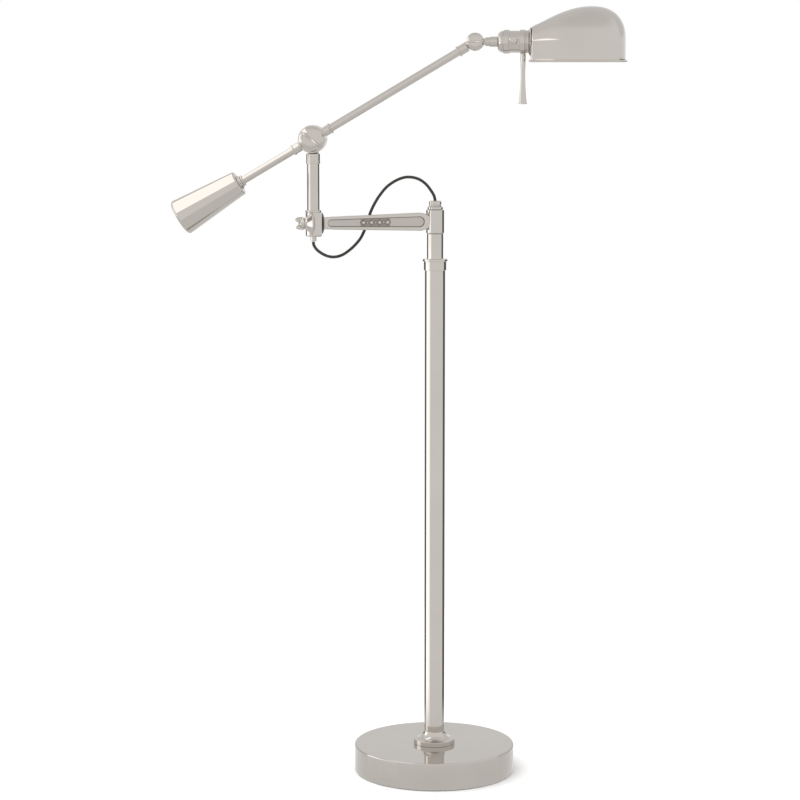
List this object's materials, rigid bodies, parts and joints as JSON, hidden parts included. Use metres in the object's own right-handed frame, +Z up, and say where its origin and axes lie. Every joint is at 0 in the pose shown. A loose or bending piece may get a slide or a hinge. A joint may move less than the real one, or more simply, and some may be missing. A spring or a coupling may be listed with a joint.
{
  "type": "adjustable arm floor lamp",
  "caption": "Polished floor lamp: weighted round base, slim column, swinging arm, tilting boom with a conical counterweight, and a domed shade, open below, with a hanging handle.",
  "frame": {"origin": "centre of the base's underside, on the floor", "axes": "+Z up along the column, +X the way the boom points at rest, -Y the side with the wing nuts and the switch"},
  "size_m": [0.699, 0.2619, 1.2104],
  "materials": {
    "nickel": "polished",
    "iron": "matte",
    "felt": "matte",
    "steel": "satin",
    "gland": "matte",
    "brass": "satin",
    "fibre": "matte",
    "cord": "matte",
    "insulator": "gloss",
    "lamp_cap": "satin",
    "lamp_glass": "gloss"
  },
  "bodies": {
    "stand": {"base_cover": "nickel", "base_weight": "iron", "base_pad": "felt", "base_washer": "steel", "base_nut": "steel", "cord_gland": "gland", "foot_fitting": "nickel", "tie_nipple": "steel", "column_plug": "brass", "column_tube": "nickel", "column_collar": "nickel", "spindle": "nickel", "thrust_washer": "steel", "spindle_ring": "nickel", "spindle_cap": "nickel"},
    "arm": {"arm_casting": "nickel", "arm_bushes": "brass", "elbow_stud": "steel", "elbow_washer": "fibre", "link_cord": "cord"},
    "elbow": {"elbow_casting": "nickel", "cord_ferrule": "nickel", "post_set_screw": "steel"},
    "elbow_knob": {"elbow_wing_nut": "nickel"},
    "post": {"post_tube": "nickel", "post_head": "nickel", "pivot_bolt": "steel", "pivot_washer": "fibre", "pivot_rear_nut": "nickel"},
    "pivot_knob": {"pivot_wing_nut": "nickel"},
    "boom": {"boom_hub": "nickel", "boom_front_tube": "nickel", "boom_back_tube": "nickel", "boom_end_lug": "nickel", "counterweight": "nickel", "weight_neck": "nickel", "weight_lock_ring": "nickel", "knuckle_bolt": "steel", "knuckle_washer": "fibre"},
    "knuckle_knob": {"knuckle_wing_nut": "nickel"},
    "head": {"head_lug": "nickel", "neck_ring": "nickel", "socket_cap": "nickel", "socket_ring": "nickel", "socket_shell": "nickel", "lampholder": "insulator", "screw_shell": "brass", "centre_contact": "brass", "bulb_cap": "lamp_cap", "bulb_glass": "lamp_glass"},
    "switch": {"switch_knob": "nickel"},
    "shade": {"shade_ring": "nickel", "shade_gallery": "nickel", "gallery_screws": "steel", "shade": "nickel", "handle": "nickel"}
  },
  "joints": [
    {"name": "arm_swing", "type": "hinge", "parent": "stand", "child": "arm", "pos_m": [0, 0, 0.88035], "axis": [0, 0, 1], "range_deg": [-170, 170]},
    {"name": "elbow_roll", "type": "hinge", "parent": "arm", "child": "elbow", "pos_m": [-0.18286, -0.06656, 0.88035], "axis": [-0.9397, -0.342, 0], "range_deg": [-90, 90]},
    {"name": "post_swivel", "type": "hinge", "parent": "elbow", "child": "post", "pos_m": [-0.18286, -0.06656, 0.88035], "axis": [0, 0, 1], "range_deg": [-135, 135]},
    {"name": "boom_tilt", "type": "hinge", "parent": "post", "child": "boom", "pos_m": [-0.18286, -0.07656, 1.00975], "axis": [0, -1, 0], "range_deg": [-60, 20]},
    {"name": "head_tilt", "type": "hinge", "parent": "boom", "child": "head", "pos_m": [0.06675, -0.07656, 1.15737], "axis": [0, -1, 0], "range_deg": [-75, 60]},
    {"name": "shade_turn", "type": "hinge", "parent": "head", "child": "shade", "pos_m": [0.13675, -0.07656, 1.15737], "axis": [1, 0, 0], "range_deg": [-170, 170]},
    {"name": "elbow_knob_turn", "type": "hinge", "parent": "arm", "child": "elbow_knob", "pos_m": [-0.18286, -0.06656, 0.88035], "axis": [-0.9397, -0.342, 0], "continuous": true},
    {"name": "pivot_knob_turn", "type": "hinge", "parent": "post", "child": "pivot_knob", "pos_m": [-0.18286, -0.08656, 1.00975], "axis": [0, 1, 0], "continuous": true},
    {"name": "knuckle_knob_turn", "type": "hinge", "parent": "boom", "child": "knuckle_knob", "pos_m": [0.06675, -0.08456, 1.15737], "axis": [0, 1, 0], "continuous": true},
    {"name": "switch_turn", "type": "hinge", "parent": "head", "child": "switch", "pos_m": [0.12545, -0.09456, 1.15917], "axis": [0, 1, 0], "continuous": true}
  ]
}
